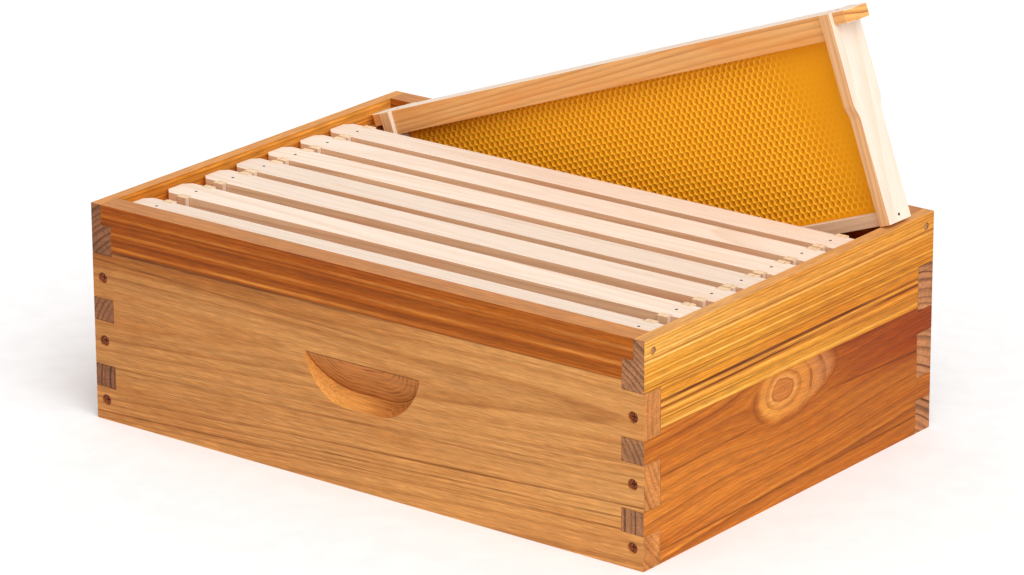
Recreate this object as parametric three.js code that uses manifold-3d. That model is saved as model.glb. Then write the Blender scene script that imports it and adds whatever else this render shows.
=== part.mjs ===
// A medium eight-frame Langstroth super: a finger-jointed wooden box, open above and below, with eight
// Hoffman frames. Seven hang on the rabbet ledges of the end boards. The eighth is tipped up, its rear
// lug on the rear ledge and its front end on the front rim.
//
// Millimetres. +Z is up, X runs along the box and its frames (front at +X), Y runs across them.
// The origin is at the centre of the box's footprint.

import * as THREE from 'three';
import { mergeVertices } from 'three/addons/utils/BufferGeometryUtils.js';
import Module from 'manifold-3d';

const wasm = await Module();
wasm.setup();

// ---- Driving dimensions -------------------------------------------------------------------------

const GAP = 0.3;

const BOX = {
  length: 505,
  width: 356,
  height: 168.3,
  board: 19,
};

// The rabbet along the inner top edge of each end board, whose ledge carries the frames' lugs.
const RABBET = {
  width: 9.5,
  depth: 15.9,
};

// Heights where side fingers and end fingers meet, from the bottom. Side fingers come first.
const FINGER_LEVELS = [26, 43.5, 78, 95.5, 130];

const SCREW = {
  inset: 9.5,
  levels: [15.7, 62.3, 111.5],
  sink: 1.6,
  head: 4,
  shank: 2.1,
  cone: 2.6,
  length: 48,
  point: 7,
  recess: 2.2,
  slot: 0.9,
};

const NAIL = {
  inset: 10,
  below: 9.5,
  head: 2.6,
  headThick: 1,
  shank: 1.3,
  length: 38,
  point: 4,
  sink: 0.4,
};

// A half-moon pocket milled by a tilted disc that is plunged and then moved a little along the board.
const HANDHOLD = {
  centre: 3.5,
  top: 97,
  tilt: 26,
  disc: 39.5,
  travel: 14,
  drop: 32.5,
};

const FRAME = {
  barLength: 482.6,
  barWidth: 27,
  barHeight: 19,
  lugHeight: 9.5,
  neckWidth: 22,
  lugChamfer: 5.5,
  endOuter: 225.4,
  endThick: 9.5,
  endHeight: 159,
  shoulderWidth: 34.5,
  shoulderDepth: 67,
  legWidth: 27,
  taper: 13,
  bottomWidth: 19,
  bottomHeight: 9.5,
  sheet: 1.6,
  topGroove: 6,
  bottomGroove: 3,
};

// Centres of the seven seated frames across the box, from the right wall. They stand a little apart,
// as they were pushed together by hand.
const SEATS = [-141.4, -97.4, -55.7, -19.9, 16.9, 54.8, 90.9];

// The raised frame turns about the lower edge of its rear lug, which lies on the rear ledge.
const RAISED = {
  lug: [-237.5, 141.6],
  yaw: -0.83,
};

const ledge = BOX.height - RABBET.depth;
const rim = BOX.length / 2 - RABBET.width;
const endIn = BOX.length / 2 - BOX.board;
const sideIn = BOX.width / 2 - BOX.board;

// ---- Materials ----------------------------------------------------------------------------------

const wood = (color, roughness) => new THREE.MeshStandardMaterial({ color, roughness, metalness: 0 });

const COLORS = {
  box: 0xc98243,
  frame: 0xf0d3ac,
  sheet: 0xd98a06,
  steel: 0x4a4238,
};

const MATERIALS = {
  box: () => wood(COLORS.box, 0.55),
  frame: () => wood(COLORS.frame, 0.65),
  sheet: () => wood(COLORS.sheet, 0.35),
  steel: () => new THREE.MeshStandardMaterial({ color: COLORS.steel, roughness: 0.45, metalness: 0.9 }),
};

// ---- Solids -------------------------------------------------------------------------------------

function solid(geometry) {
  const bare = geometry.index ? geometry.toNonIndexed() : geometry.clone();
  bare.deleteAttribute('normal');
  bare.deleteAttribute('uv');
  const merged = mergeVertices(bare, 1e-4);
  const mesh = new wasm.Mesh({
    numProp: 3,
    vertProperties: new Float32Array(merged.attributes.position.array),
    triVerts: new Uint32Array(merged.index.array),
  });
  return new wasm.Manifold(mesh);
}

function geometryOf(body) {
  const mesh = body.getMesh();
  const geometry = new THREE.BufferGeometry();
  geometry.setAttribute('position', new THREE.BufferAttribute(mesh.vertProperties, 3));
  geometry.setIndex(new THREE.BufferAttribute(mesh.triVerts, 1));
  geometry.computeVertexNormals();
  return geometry;
}

// A box between two corners.
function block([x0, y0, z0], [x1, y1, z1]) {
  const geometry = new THREE.BoxGeometry(x1 - x0, y1 - y0, z1 - z0);
  geometry.translate((x0 + x1) / 2, (y0 + y1) / 2, (z0 + z1) / 2);
  return solid(geometry);
}

// A turned piece whose axis is placed by the matrix. The profile is [radius, distance along axis].
function turned(profile, segments, matrix) {
  const points = profile.map(([r, a]) => new THREE.Vector2(r, a));
  const geometry = new THREE.LatheGeometry(points, segments);
  geometry.applyMatrix4(matrix);
  return solid(geometry);
}

function named(name, body, material) {
  const mesh = new THREE.Mesh(geometryOf(body), material);
  mesh.name = name;
  return mesh;
}

const reduceAll = (bodies, how) => bodies.reduce((sum, body) => sum[how](body));

const signs = [-1, 1];

// The number of sides of a turned piece.
const ROUND = 20;

// ---- Fasteners ----------------------------------------------------------------------------------

// Places a fastener with its head at a point and its shank running the other way from `out`.
function facing(point, out) {
  const turn = new THREE.Quaternion().setFromUnitVectors(new THREE.Vector3(0, 1, 0), out);
  return new THREE.Matrix4().compose(point, turn, new THREE.Vector3(1, 1, 1));
}

// A fastener's profile along its axis, and the same profile grown to make its hole.
function screwProfile(grow = 0) {
  const mouth = SCREW.sink + 1;
  const end = grow ? [[SCREW.head + grow, mouth], [0, mouth]] : [[0, 0]];
  return [
    [0, -SCREW.length - grow],
    [SCREW.shank + grow, -SCREW.length + SCREW.point - grow],
    [SCREW.shank + grow, -SCREW.cone - grow],
    [SCREW.head + grow, 0],
    ...end,
  ];
}

function nailProfile(grow = 0) {
  const mouth = grow ? NAIL.sink + 1 : 0;
  return [
    [0, -NAIL.length - grow],
    [NAIL.shank + grow, -NAIL.length + NAIL.point - grow],
    [NAIL.shank + grow, -NAIL.headThick - grow],
    [NAIL.head + grow, -NAIL.headThick - grow],
    [NAIL.head + grow, mouth],
    [0, mouth],
  ];
}

function screwPlaces() {
  const places = [];
  for (const y of signs) {
    for (const x of signs) {
      SCREW.levels.forEach((z, i) => {
        const point = new THREE.Vector3(
          x * (BOX.length / 2 - SCREW.inset),
          y * (BOX.width / 2 - SCREW.sink),
          z,
        );
        const name = `screw_${y < 0 ? 'right' : 'left'}_${x < 0 ? 'rear' : 'front'}_${i + 1}`;
        places.push({ name, x, y, at: facing(point, new THREE.Vector3(0, y, 0)) });
      });
    }
  }
  return places;
}

function nailPlaces() {
  const places = [];
  for (const x of signs) {
    for (const y of signs) {
      const point = new THREE.Vector3(
        x * (BOX.length / 2 - NAIL.sink),
        y * (BOX.width / 2 - NAIL.inset),
        BOX.height - NAIL.below,
      );
      const name = `rim_nail_${x < 0 ? 'rear' : 'front'}_${y < 0 ? 'right' : 'left'}`;
      places.push({ name, x, y, at: facing(point, new THREE.Vector3(x, 0, 0)) });
    }
  }
  return places;
}

// A countersunk screw with a cross recess in its head.
function screw(at) {
  const wide = 2 * SCREW.recess;
  const cross = [[wide, SCREW.slot], [SCREW.slot, wide]].map(([across, along]) => {
    const geometry = new THREE.BoxGeometry(across, wide, along);
    geometry.applyMatrix4(at);
    return solid(geometry);
  });
  return turned(screwProfile(), ROUND, at).subtract(reduceAll(cross, 'add'));
}

// ---- Box ----------------------------------------------------------------------------------------

const SCREWS = screwPlaces();
const NAILS = nailPlaces();

// Where the end boards' fingers pass through a corner, as [low, high] with an open top.
const END_FINGERS = [
  [FINGER_LEVELS[0], FINGER_LEVELS[1]],
  [FINGER_LEVELS[2], FINGER_LEVELS[3]],
  [FINGER_LEVELS[4], BOX.height],
];

function holes(places, profile, keep) {
  return places.filter(keep).map(({ at }) => turned(profile, ROUND, at));
}

// The disc cutter's path, as a prism whose lower face is the pocket's floor.
function handholdCutter(y) {
  const { disc, travel, drop, centre, top, tilt } = HANDHOLD;
  const shape = new THREE.Shape();
  shape.moveTo(travel, -disc);
  shape.absarc(travel, 0, disc, -Math.PI / 2, 0, false);
  shape.lineTo(travel + disc, disc);
  shape.lineTo(-travel - disc, disc);
  shape.lineTo(-travel - disc, 0);
  shape.absarc(-travel, 0, disc, Math.PI, 1.5 * Math.PI, false);
  const geometry = new THREE.ExtrudeGeometry(shape, { depth: 60, bevelEnabled: false, curveSegments: 20 });
  // The shape lies in XY with its bottom `drop` below the pocket's top edge. It is stood up so that
  // its depth runs out of the board, and tilted so that the floor faces a little downwards.
  geometry.translate(0, disc - drop, 0);
  geometry.rotateX(Math.PI / 2);
  geometry.rotateX(THREE.MathUtils.degToRad(tilt));
  geometry.translate(centre, -BOX.width / 2, top);
  if (y > 0) {
    geometry.rotateZ(Math.PI);
  }
  return solid(geometry);
}

function sideBoard(y) {
  const slack = GAP / 2;
  const half = BOX.length / 2;
  const [near, far] = [sideIn + slack, BOX.width / 2];
  const span = (x0, x1, z0, z1) => {
    const ys = [y * near, y * far].sort((a, b) => a - b);
    return block([x0, ys[0], z0], [x1, ys[1], z1]);
  };
  const gapSpan = (x0, x1, z0, z1) => {
    const ys = [y * (near - 1), y * (far + 1)].sort((a, b) => a - b);
    return block([x0, ys[0], z0], [x1, ys[1], z1]);
  };
  const cuts = [];
  for (const x of signs) {
    for (const [low, high] of END_FINGERS) {
      const open = high === BOX.height;
      const top = open ? ledge + GAP : high + slack;
      const xs = [x * (endIn - slack), x * (half + 1)].sort((a, b) => a - b);
      cuts.push(gapSpan(xs[0], xs[1], low - slack, top));
      if (open) {
        const outer = [x * (rim - slack), x * (half + 1)].sort((a, b) => a - b);
        cuts.push(gapSpan(outer[0], outer[1], low - slack, BOX.height + 1));
      }
    }
  }
  cuts.push(...holes(SCREWS, screwProfile(GAP), (place) => place.y === y));
  cuts.push(...holes(NAILS, nailProfile(GAP), (place) => place.y === y));
  cuts.push(handholdCutter(y));
  return span(-half, half, 0, BOX.height).subtract(reduceAll(cuts, 'add'));
}

function endBoard(x) {
  const slack = GAP / 2;
  const half = BOX.width / 2;
  const across = (x0, x1, y0, y1, z0, z1) => {
    const xs = [x * x0, x * x1].sort((a, b) => a - b);
    return block([xs[0], y0, z0], [xs[1], y1, z1]);
  };
  const near = endIn + slack;
  const far = BOX.length / 2;
  const shoulder = sideIn - slack;
  const fingers = END_FINGERS.map(([low, high]) => {
    const top = high === BOX.height ? high : high - slack;
    return across(near, far, -half, half, low + slack, top);
  });
  const body = across(near, far, -shoulder, shoulder, 0, BOX.height).add(reduceAll(fingers, 'add'));
  const rabbet = across(near - 1, rim + slack, -half - 1, half + 1, ledge, BOX.height + 1);
  const cuts = [
    rabbet,
    ...holes(SCREWS, screwProfile(GAP), (place) => place.x === x),
    ...holes(NAILS, nailProfile(GAP), (place) => place.x === x),
  ];
  return body.subtract(reduceAll(cuts, 'add'));
}

function box() {
  const group = new THREE.Group();
  group.add(named('right_side_board', sideBoard(-1), MATERIALS.box()));
  group.add(named('left_side_board', sideBoard(1), MATERIALS.box()));
  group.add(named('front_end_board', endBoard(1), MATERIALS.box()));
  group.add(named('rear_end_board', endBoard(-1), MATERIALS.box()));
  for (const { name, at } of SCREWS) {
    group.add(named(name, screw(at), MATERIALS.steel()));
  }
  for (const { name, at } of NAILS) {
    group.add(named(name, turned(nailProfile(), ROUND, at), MATERIALS.steel()));
  }
  return group;
}

// ---- Frames -------------------------------------------------------------------------------------
// In a frame's own coordinates X runs along the top bar, Y across it, and Z is 0 at its top surface.

// A prism of an outline in XY between two heights.
function slab(points, z0, z1) {
  const shape = new THREE.Shape(points.map(([x, y]) => new THREE.Vector2(x, y)));
  const geometry = new THREE.ExtrudeGeometry(shape, { depth: z1 - z0, bevelEnabled: false });
  geometry.translate(0, 0, z0);
  return solid(geometry);
}

const endInner = FRAME.endOuter - FRAME.endThick;

function topBar() {
  const halfBar = FRAME.barWidth / 2;
  const halfNeck = FRAME.neckWidth / 2;
  const tip = FRAME.barLength / 2;
  const cut = FRAME.lugChamfer;
  const outerNeck = FRAME.endOuter + GAP;
  const innerNeck = endInner - GAP;
  const quarter = [
    [innerNeck, halfBar],
    [innerNeck, halfNeck],
    [outerNeck, halfNeck],
    [outerNeck, halfBar],
    [tip - cut, halfBar],
    [tip, halfBar - cut],
  ];
  const mirrored = (list, sx, sy) => list.map(([x, y]) => [sx * x, sy * y]);
  const outline = [
    ...mirrored(quarter, 1, 1),
    ...mirrored(quarter, 1, -1).reverse(),
    ...mirrored(quarter, -1, -1),
    ...mirrored(quarter, -1, 1).reverse(),
  ].reverse();
  const upper = slab(outline, -FRAME.lugHeight, 0);
  const lower = block([-innerNeck, -halfBar, -FRAME.barHeight], [innerNeck, halfBar, -FRAME.lugHeight]);
  const halfGroove = FRAME.sheet / 2 + GAP;
  const groove = block(
    [-innerNeck - 1, -halfGroove, -FRAME.barHeight - 1],
    [innerNeck + 1, halfGroove, -FRAME.barHeight + FRAME.topGroove],
  );
  return upper.add(lower).subtract(groove);
}

// An end bar seen from the end of the frame: broad shoulders with a notch for the top bar's neck, a
// short curved taper, and a narrower leg. Its outer face looks towards +X for side 1.
function endBar(side) {
  const shoulder = FRAME.shoulderWidth / 2;
  const leg = FRAME.legWidth / 2;
  const notch = FRAME.neckWidth / 2 + GAP;
  const notchDepth = FRAME.lugHeight + GAP;
  const steps = 6;
  const half = [[notch, -notchDepth], [notch, 0], [shoulder, 0]];
  for (let i = 0; i <= steps; i += 1) {
    const t = i / steps;
    const ease = t * t * (3 - 2 * t);
    half.push([shoulder + (leg - shoulder) * ease, -FRAME.shoulderDepth - FRAME.taper * t]);
  }
  half.push([leg, -FRAME.endHeight]);
  const outline = [...half, ...half.map(([y, z]) => [-y, z]).reverse()].reverse();
  const shape = new THREE.Shape(outline.map(([y, z]) => new THREE.Vector2(y, z)));
  const geometry = new THREE.ExtrudeGeometry(shape, { depth: FRAME.endThick, bevelEnabled: false });
  // The outline's axes become Y and Z, and the depth runs along X.
  geometry.applyMatrix4(new THREE.Matrix4().makeBasis(
    new THREE.Vector3(0, 1, 0),
    new THREE.Vector3(0, 0, 1),
    new THREE.Vector3(1, 0, 0),
  ));
  geometry.translate(side > 0 ? endInner : -FRAME.endOuter, 0, 0);
  return solid(geometry);
}

function bottomBar() {
  const half = FRAME.bottomWidth / 2;
  const end = endInner - GAP;
  const top = -FRAME.endHeight + FRAME.bottomHeight;
  const halfGroove = FRAME.sheet / 2 + GAP;
  const groove = block([-end - 1, -halfGroove, top - FRAME.bottomGroove], [end + 1, halfGroove, top + 1]);
  return block([-end, -half, -FRAME.endHeight], [end, half, top]).subtract(groove);
}

function foundation() {
  const end = endInner - 1;
  const half = FRAME.sheet / 2;
  const top = -FRAME.barHeight + FRAME.topGroove - 1;
  const bottom = -FRAME.endHeight + FRAME.bottomHeight - FRAME.bottomGroove + GAP;
  return block([-end, -half, bottom], [end, half, top]);
}

function frame(number) {
  const group = new THREE.Group();
  const pieces = [
    ['top_bar', topBar(), MATERIALS.frame()],
    ['front_end_bar', endBar(1), MATERIALS.frame()],
    ['rear_end_bar', endBar(-1), MATERIALS.frame()],
    ['bottom_bar', bottomBar(), MATERIALS.frame()],
    ['foundation', foundation(), MATERIALS.sheet()],
  ];
  for (const [part, body, material] of pieces) {
    group.add(named(`frame_${number}_${part}`, body, material));
  }
  return group;
}

function seatedFrame(number, y) {
  const group = frame(number);
  group.position.set(0, y, ledge + GAP + FRAME.lugHeight);
  return group;
}

// The raised frame's tilt follows from its two supports: the rear lug's lower edge on the ledge, and
// the frame's underside on the inner edge of the front rim.
function raisedFrame(number) {
  const yaw = THREE.MathUtils.degToRad(RAISED.yaw);
  const [lugX, lugY] = RAISED.lug;
  const run = (rim - lugX) / Math.cos(yaw);
  const rise = BOX.height - ledge;
  const drop = FRAME.endHeight - FRAME.lugHeight;
  const tilt = Math.asin(drop / Math.hypot(run, rise)) + Math.atan2(rise, run);
  const inner = frame(number);
  inner.position.set(FRAME.barLength / 2, 0, FRAME.lugHeight);
  const group = new THREE.Group();
  group.add(inner);
  group.rotation.set(0, -tilt, yaw, 'ZYX');
  group.position.set(lugX, lugY, ledge + GAP);
  return group;
}

const hive = new THREE.Group();
hive.name = 'eight_frame_super';
hive.add(box());
SEATS.forEach((y, i) => hive.add(seatedFrame(i + 1, y)));
hive.add(raisedFrame(SEATS.length + 1));
hive.updateMatrixWorld(true);

export default hive;
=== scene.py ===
"""The looks of a medium eight-frame hive super: a finger-jointed, waxed softwood box with pale frames
that hold embossed wax foundation. Metres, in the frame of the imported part."""

import math
import random

import bmesh
import bpy
import numpy as np
from mathutils import Matrix, Vector


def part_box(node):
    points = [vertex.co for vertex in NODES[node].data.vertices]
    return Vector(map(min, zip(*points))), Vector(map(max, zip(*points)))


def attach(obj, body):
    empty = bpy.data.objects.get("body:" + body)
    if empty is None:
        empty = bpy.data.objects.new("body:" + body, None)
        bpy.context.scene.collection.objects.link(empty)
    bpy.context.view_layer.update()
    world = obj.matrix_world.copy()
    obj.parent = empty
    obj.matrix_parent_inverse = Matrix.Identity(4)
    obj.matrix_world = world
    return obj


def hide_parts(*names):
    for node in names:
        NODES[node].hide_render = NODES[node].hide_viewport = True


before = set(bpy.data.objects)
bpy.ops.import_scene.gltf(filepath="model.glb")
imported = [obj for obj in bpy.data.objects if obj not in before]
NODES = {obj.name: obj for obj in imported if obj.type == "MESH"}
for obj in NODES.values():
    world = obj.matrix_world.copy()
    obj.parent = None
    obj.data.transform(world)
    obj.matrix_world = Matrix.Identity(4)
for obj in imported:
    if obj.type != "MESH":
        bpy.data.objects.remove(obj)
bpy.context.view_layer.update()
MM = 0.001

# ---- Sizes taken from the frame ------------------------------------------------------------------

LOW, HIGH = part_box("right_side_board")
HALF_LENGTH = HIGH.x
HALF_WIDTH = -LOW.y
HEIGHT = HIGH.z
FRAMES = range(1, 9)
RAISED = 8

# ---- Camera --------------------------------------------------------------------------------------

CAMERA = {
    "azimuth": 37.91,
    "elevation": 19.016,
    "roll": -0.286,
    "distance": 3.6878,
    "aim": (0.00004, 0.0998),
    "lens": 174.52,
    "sensor": 36.0,
}


def add_camera():
    """A long lens that looks down at the box's near corner."""
    turn = math.radians(CAMERA["azimuth"])
    lift = math.radians(CAMERA["elevation"])
    back = Vector((math.sin(turn) * math.cos(lift), -math.cos(turn) * math.cos(lift), math.sin(lift)))
    right = Vector((math.cos(turn), math.sin(turn), 0))
    level = Matrix((right, back.cross(right), back)).transposed()
    axes = level @ Matrix.Rotation(math.radians(CAMERA["roll"]), 3, "Z")
    lens = bpy.data.cameras.new("camera")
    lens.lens = CAMERA["lens"]
    lens.sensor_width = CAMERA["sensor"]
    lens.clip_end = 100
    camera = bpy.data.objects.new("camera", lens)
    place = axes @ Vector((*CAMERA["aim"], CAMERA["distance"]))
    camera.matrix_world = Matrix.Translation(place) @ axes.to_4x4()
    bpy.context.scene.collection.objects.link(camera)
    bpy.context.scene.camera = camera


# ---- Shader graphs -------------------------------------------------------------------------------


def tint(red, green, blue):
    """A display colour, 0 to 255, as the linear colour that shaders take."""
    values = [c / 255 for c in (red, green, blue)]
    linear = [c / 12.92 if c <= 0.04045 else ((c + 0.055) / 1.055) ** 2.4 for c in values]
    return (*linear, 1)


class Surface:
    """A material under construction. Each method adds a node and returns its output."""

    def __init__(self, name):
        self.material = bpy.data.materials.new(name)
        self.material.use_nodes = True
        self.tree = self.material.node_tree
        self.tree.nodes.clear()

    def put(self, kind, inputs, **settings):
        node = self.tree.nodes.new(kind)
        for key, value in settings.items():
            setattr(node, key, value)
        for key, value in inputs.items():
            if isinstance(value, bpy.types.NodeSocket):
                self.tree.links.new(value, node.inputs[key])
            else:
                node.inputs[key].default_value = value
        return node

    def math(self, operation, *values):
        inputs = dict(enumerate(values))
        return self.put("ShaderNodeMath", inputs, operation=operation).outputs[0]

    def add(self, a, b):
        return self.math("ADD", a, b)

    def sub(self, a, b):
        return self.math("SUBTRACT", a, b)

    def mul(self, a, b):
        return self.math("MULTIPLY", a, b)

    def scalar(self, name):
        node = self.put("ShaderNodeAttribute", {}, attribute_name=name)
        return node.outputs["Fac"]

    def vector(self, name):
        node = self.put("ShaderNodeAttribute", {}, attribute_name=name)
        return node.outputs["Vector"]

    def split(self, vector):
        return self.put("ShaderNodeSeparateXYZ", {0: vector}).outputs

    def join(self, x, y, z):
        return self.put("ShaderNodeCombineXYZ", {0: x, 1: y, 2: z}).outputs[0]

    def stretch(self, vector, scale):
        node = self.put("ShaderNodeVectorMath", {0: vector, 1: scale}, operation="MULTIPLY")
        return node.outputs[0]

    def noise(self, vector, detail=2.0, roughness=0.5):
        inputs = {"Vector": vector, "Scale": 1.0, "Detail": detail, "Roughness": roughness}
        return self.put("ShaderNodeTexNoise", inputs).outputs["Fac"]

    def noise3(self, vector, detail):
        """Three independent noises of one place."""
        inputs = {"Vector": vector, "Scale": 1.0, "Detail": float(detail)}
        return self.split(self.put("ShaderNodeTexNoise", inputs).outputs["Color"])

    def wave(self, value, scale, detail=1.0):
        """Smooth noise of one number."""
        inputs = {"W": value, "Scale": scale, "Detail": detail, "Roughness": 0.6}
        return self.put("ShaderNodeTexNoise", inputs, noise_dimensions="1D").outputs["Fac"]

    def hash(self, value):
        """A random number from 0 to 1 for each whole number."""
        node = self.put("ShaderNodeTexWhiteNoise", {"W": value}, noise_dimensions="1D")
        return node.outputs["Value"]

    def span(self, value, low, high, to_low=0.0, to_high=1.0, smooth=True):
        inputs = {0: value, 1: low, 2: high, 3: to_low, 4: to_high}
        kind = "SMOOTHSTEP" if smooth else "LINEAR"
        return self.put("ShaderNodeMapRange", inputs, interpolation_type=kind).outputs[0]

    def blend(self, factor, a, b, kind="MIX"):
        inputs = {0: factor, 6: a, 7: b}
        return self.put("ShaderNodeMix", inputs, data_type="RGBA", blend_type=kind).outputs[2]

    def between(self, factor, a, b):
        """Number a where factor is 0 and b where it is 1."""
        return self.put("ShaderNodeMix", {0: factor, 2: a, 3: b}, data_type="FLOAT").outputs[0]

    def brighten(self, color, value):
        return self.put("ShaderNodeHueSaturation", {"Value": value, "Color": color}).outputs[0]

    def bump(self, height, distance, strength=1.0):
        inputs = {"Height": height, "Distance": distance, "Strength": strength}
        return self.put("ShaderNodeBump", inputs).outputs[0]

    def finish(self, color, roughness, normal=None, **constants):
        inputs = {"Base Color": color, "Roughness": roughness}
        inputs.update({name.replace("_", " "): value for name, value in constants.items()})
        if normal is not None:
            inputs["Normal"] = normal
        shader = self.put("ShaderNodeBsdfPrincipled", inputs)
        self.put("ShaderNodeOutputMaterial", {0: shader.outputs[0]})
        return self.material


# ---- Wood ----------------------------------------------------------------------------------------
# Every wooden piece carries its own place in the tree in the attribute "grain": X runs along the
# fibres, Y across the board's face and Z into the board. "end_grain" is 1 on faces cut across the
# fibres.

# Metres along the tree between the noise of a board's two strips, and of two boards across the box.
STRIP_SHIFT = 1.9
BOARD_SHIFT = 3.7


def tree_radius(s, grain, pith, slope, wander):
    """How far a place is from the tree's pith, which leans a little against the board."""
    along, across, through = s.split(grain)
    drift = s.noise3(s.stretch(grain, (3.0, 16, 16)), 1)
    wobble = s.noise3(s.stretch(grain, (11, 70, 70)), 2)
    a = s.sub(s.sub(across, pith[0]), s.mul(along, slope[0]))
    b = s.sub(s.sub(through, pith[1]), s.mul(along, slope[1]))
    a = s.add(a, s.mul(s.sub(drift[0], 0.5), wander))
    b = s.add(b, s.mul(s.sub(drift[1], 0.5), wander))
    radius = s.math("SQRT", s.add(s.mul(a, a), s.mul(b, b)))
    return s.add(radius, s.mul(s.sub(wobble[0], 0.5), s.mul(wander, 0.12)))


def late_wood(s, count, crisp, least=0.15):
    """How dark a year's wood is: it darkens slowly, and turns light again at a sharp edge."""
    year = s.math("FLOOR", count)
    part = s.math("FRACT", count)
    rise = s.span(part, crisp[0], crisp[1])
    fall = s.span(part, crisp[1], 1.0, 1.0, 0.0)
    depth = s.span(s.hash(year), 0.0, 1.0, least, 1.0, smooth=False)
    return s.mul(s.mul(rise, fall), depth)


def fibres(s, grain):
    """Streaks along the fibres, from hair-fine ones to those a few millimetres wide."""
    fine = s.noise(s.stretch(grain, (60, 1300, 1300)), 2, 0.7)
    coarse = s.noise(s.stretch(grain, (17, 420, 420)), 3, 0.65)
    return fine, coarse


def shade(s, color, factor, low, high):
    """Multiplies a colour's value by low where a noise factor is 0.3 and by high where it is 0.7."""
    return s.brighten(color, s.span(factor, 0.3, 0.7, low, high, smooth=False))


def stroke(s, color, mark, place, along, mask):
    """One strong line of the grain that a board is known by, at a height across its face."""
    height = s.add(mark["at"], s.mul(along, mark["slope"]))
    off = s.math("ABSOLUTE", s.sub(place, height))
    fade = s.wave(s.add(along, mark["at"] * 50), 9.0)
    strength = s.mul(s.span(off, mark["width"] * 0.2, mark["width"], 1.0, 0.0), mask)
    strength = s.mul(strength, s.span(fade, 0.3, 0.6, 0.45, 1.0))
    reach = s.span(along, mark["ends"][0], mark["ends"][1])
    return s.blend(s.mul(s.mul(strength, reach), mark["strength"]), color, mark["color"])


def board_wood(name, look):
    """The box's waxed softwood: a board glued up from two strips, each from its own tree."""
    s = Surface(name)
    grain = s.vector("grain")
    end = s.scalar("end_grain")
    along, across, through = s.split(grain)
    joint = s.add(look["joint"][0], s.mul(along, look["joint"][1]))
    upper = s.span(across, s.sub(joint, 0.0001), s.add(joint, 0.0001))
    start = s.add(look["shift"], s.mul(upper, STRIP_SHIFT))
    shifted = s.join(s.add(along, start), across, through)
    low, top = look["lower"], look["upper"]

    def pick(key, index=None):
        a, b = (low[key], top[key]) if index is None else (low[key][index], top[key][index])
        return s.between(upper, a, b)

    def pick_color(key):
        return s.blend(upper, low[key], top[key])

    lower = s.sub(1.0, upper)
    bent = across
    for knot in look["knots"]:
        bent = bend_round(s, bent, knot, along, across, lower)
    pith = (pick("pith", 0), pick("pith", 1))
    slope = (pick("slope", 0), pick("slope", 1))
    radius = tree_radius(s, s.join(along, bent, through), pith, slope, pick("wander"))
    count = s.add(s.math("DIVIDE", radius, pick("spacing")), pick("phase"))
    count = s.add(count, s.mul(s.wave(radius, 70.0), 1.5))
    bold = s.mul(late_wood(s, count, (0.5, 0.9)), pick("bold"))
    hairs = s.wave(radius, 560.0, 3.0)
    dim = s.mul(s.span(hairs, 0.42, 0.7), pick("fine"))
    lit = s.mul(s.span(hairs, 0.45, 0.3), pick("pale"))
    color = s.blend(dim, pick_color("light"), pick_color("mid"))
    color = s.blend(lit, color, pick_color("bright"))
    color = s.blend(bold, color, pick_color("dark"))
    ragged = s.noise(s.stretch(shifted, (9, 60, 60)), 2)
    rough_across = s.add(across, s.mul(s.sub(ragged, 0.5), 0.0016))
    for mark in look["strokes"]:
        color = stroke(s, color, mark, rough_across, along, upper if mark["upper"] else lower)
    for area in look["zones"]:
        band = s.span(rough_across, area["from"], area["to"])
        band = s.mul(band, upper if area["upper"] else lower)
        band = s.mul(band, s.span(along, *area["ends"]))
        color = s.blend(band, color, s.blend(1.0, color, area["gain"], "MULTIPLY"))
    place = s.span(along, -look["reach"], look["reach"], smooth=False)
    gain = s.blend(upper, s.blend(place, *low["drift"]), s.blend(place, *top["drift"]))
    color = s.blend(1.0, color, gain, "MULTIPLY")
    for knot in look["knots"]:
        color = knot_color(s, color, knot, along, across, lower)
    cloud = s.noise(s.stretch(shifted, (5, 30, 30)), 3, 0.6)
    stained = s.blend(1.0, color, look["stain"], "MULTIPLY")
    color = s.blend(s.span(cloud, 0.42, 0.72, 0.0, 0.6), color, stained)
    cut = end_grain(s, s.join(along, across, through), shifted, look)
    cut = s.blend(1.0, cut, s.blend(place, *look["end_drift"]), "MULTIPLY")
    color = s.blend(end, color, cut)
    # Painted light: the box's top rim is painted paler, as if lit from above.
    color = s.blend(s.mul(s.scalar("lit_rim"), 0.55), color, look["lit_rim"])
    color = handhold_color(s, color, along, across)
    fine, coarse = fibres(s, shifted)
    color = shade(s, color, fine, 0.74, 1.22)
    color = shade(s, color, coarse, 0.85, 1.13)
    glued = s.math("ABSOLUTE", s.sub(across, joint))
    glued = s.mul(s.span(glued, 0.0002, 0.0008, 1.0, 0.0), look["glue"])
    color = s.blend(glued, color, look["glue_color"])
    height = s.add(s.mul(fine, 0.6), s.add(s.mul(coarse, 0.5), s.mul(bold, 0.5)))
    roughness = s.span(coarse, 0.3, 0.7, 0.45, 0.62)
    normal = s.bump(height, 0.0003, 0.4)
    return s.finish(color, roughness, normal, Specular_IOR_Level=0.12)


def end_grain(s, grain, shifted, look):
    """Wood cut across the fibres, with its year rings bowed around the tree's pith."""
    radius = tree_radius(s, grain, look["end_pith"], (0.0, 0.0), 0.008)
    count = s.add(s.math("DIVIDE", radius, look["end_spacing"]), s.wave(radius, 90.0))
    rings = s.mul(late_wood(s, count, (0.35, 0.85), 0.35), look["end_contrast"])
    cut = s.blend(rings, look["end_light"], look["end_dark"])
    speck = s.noise(s.stretch(shifted, (300, 700, 700)), 2)
    blotch = s.noise(s.stretch(shifted, (30, 60, 60)), 2)
    cut = shade(s, cut, speck, 0.82, 1.15)
    return shade(s, cut, blotch, 0.78, 1.15)


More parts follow.
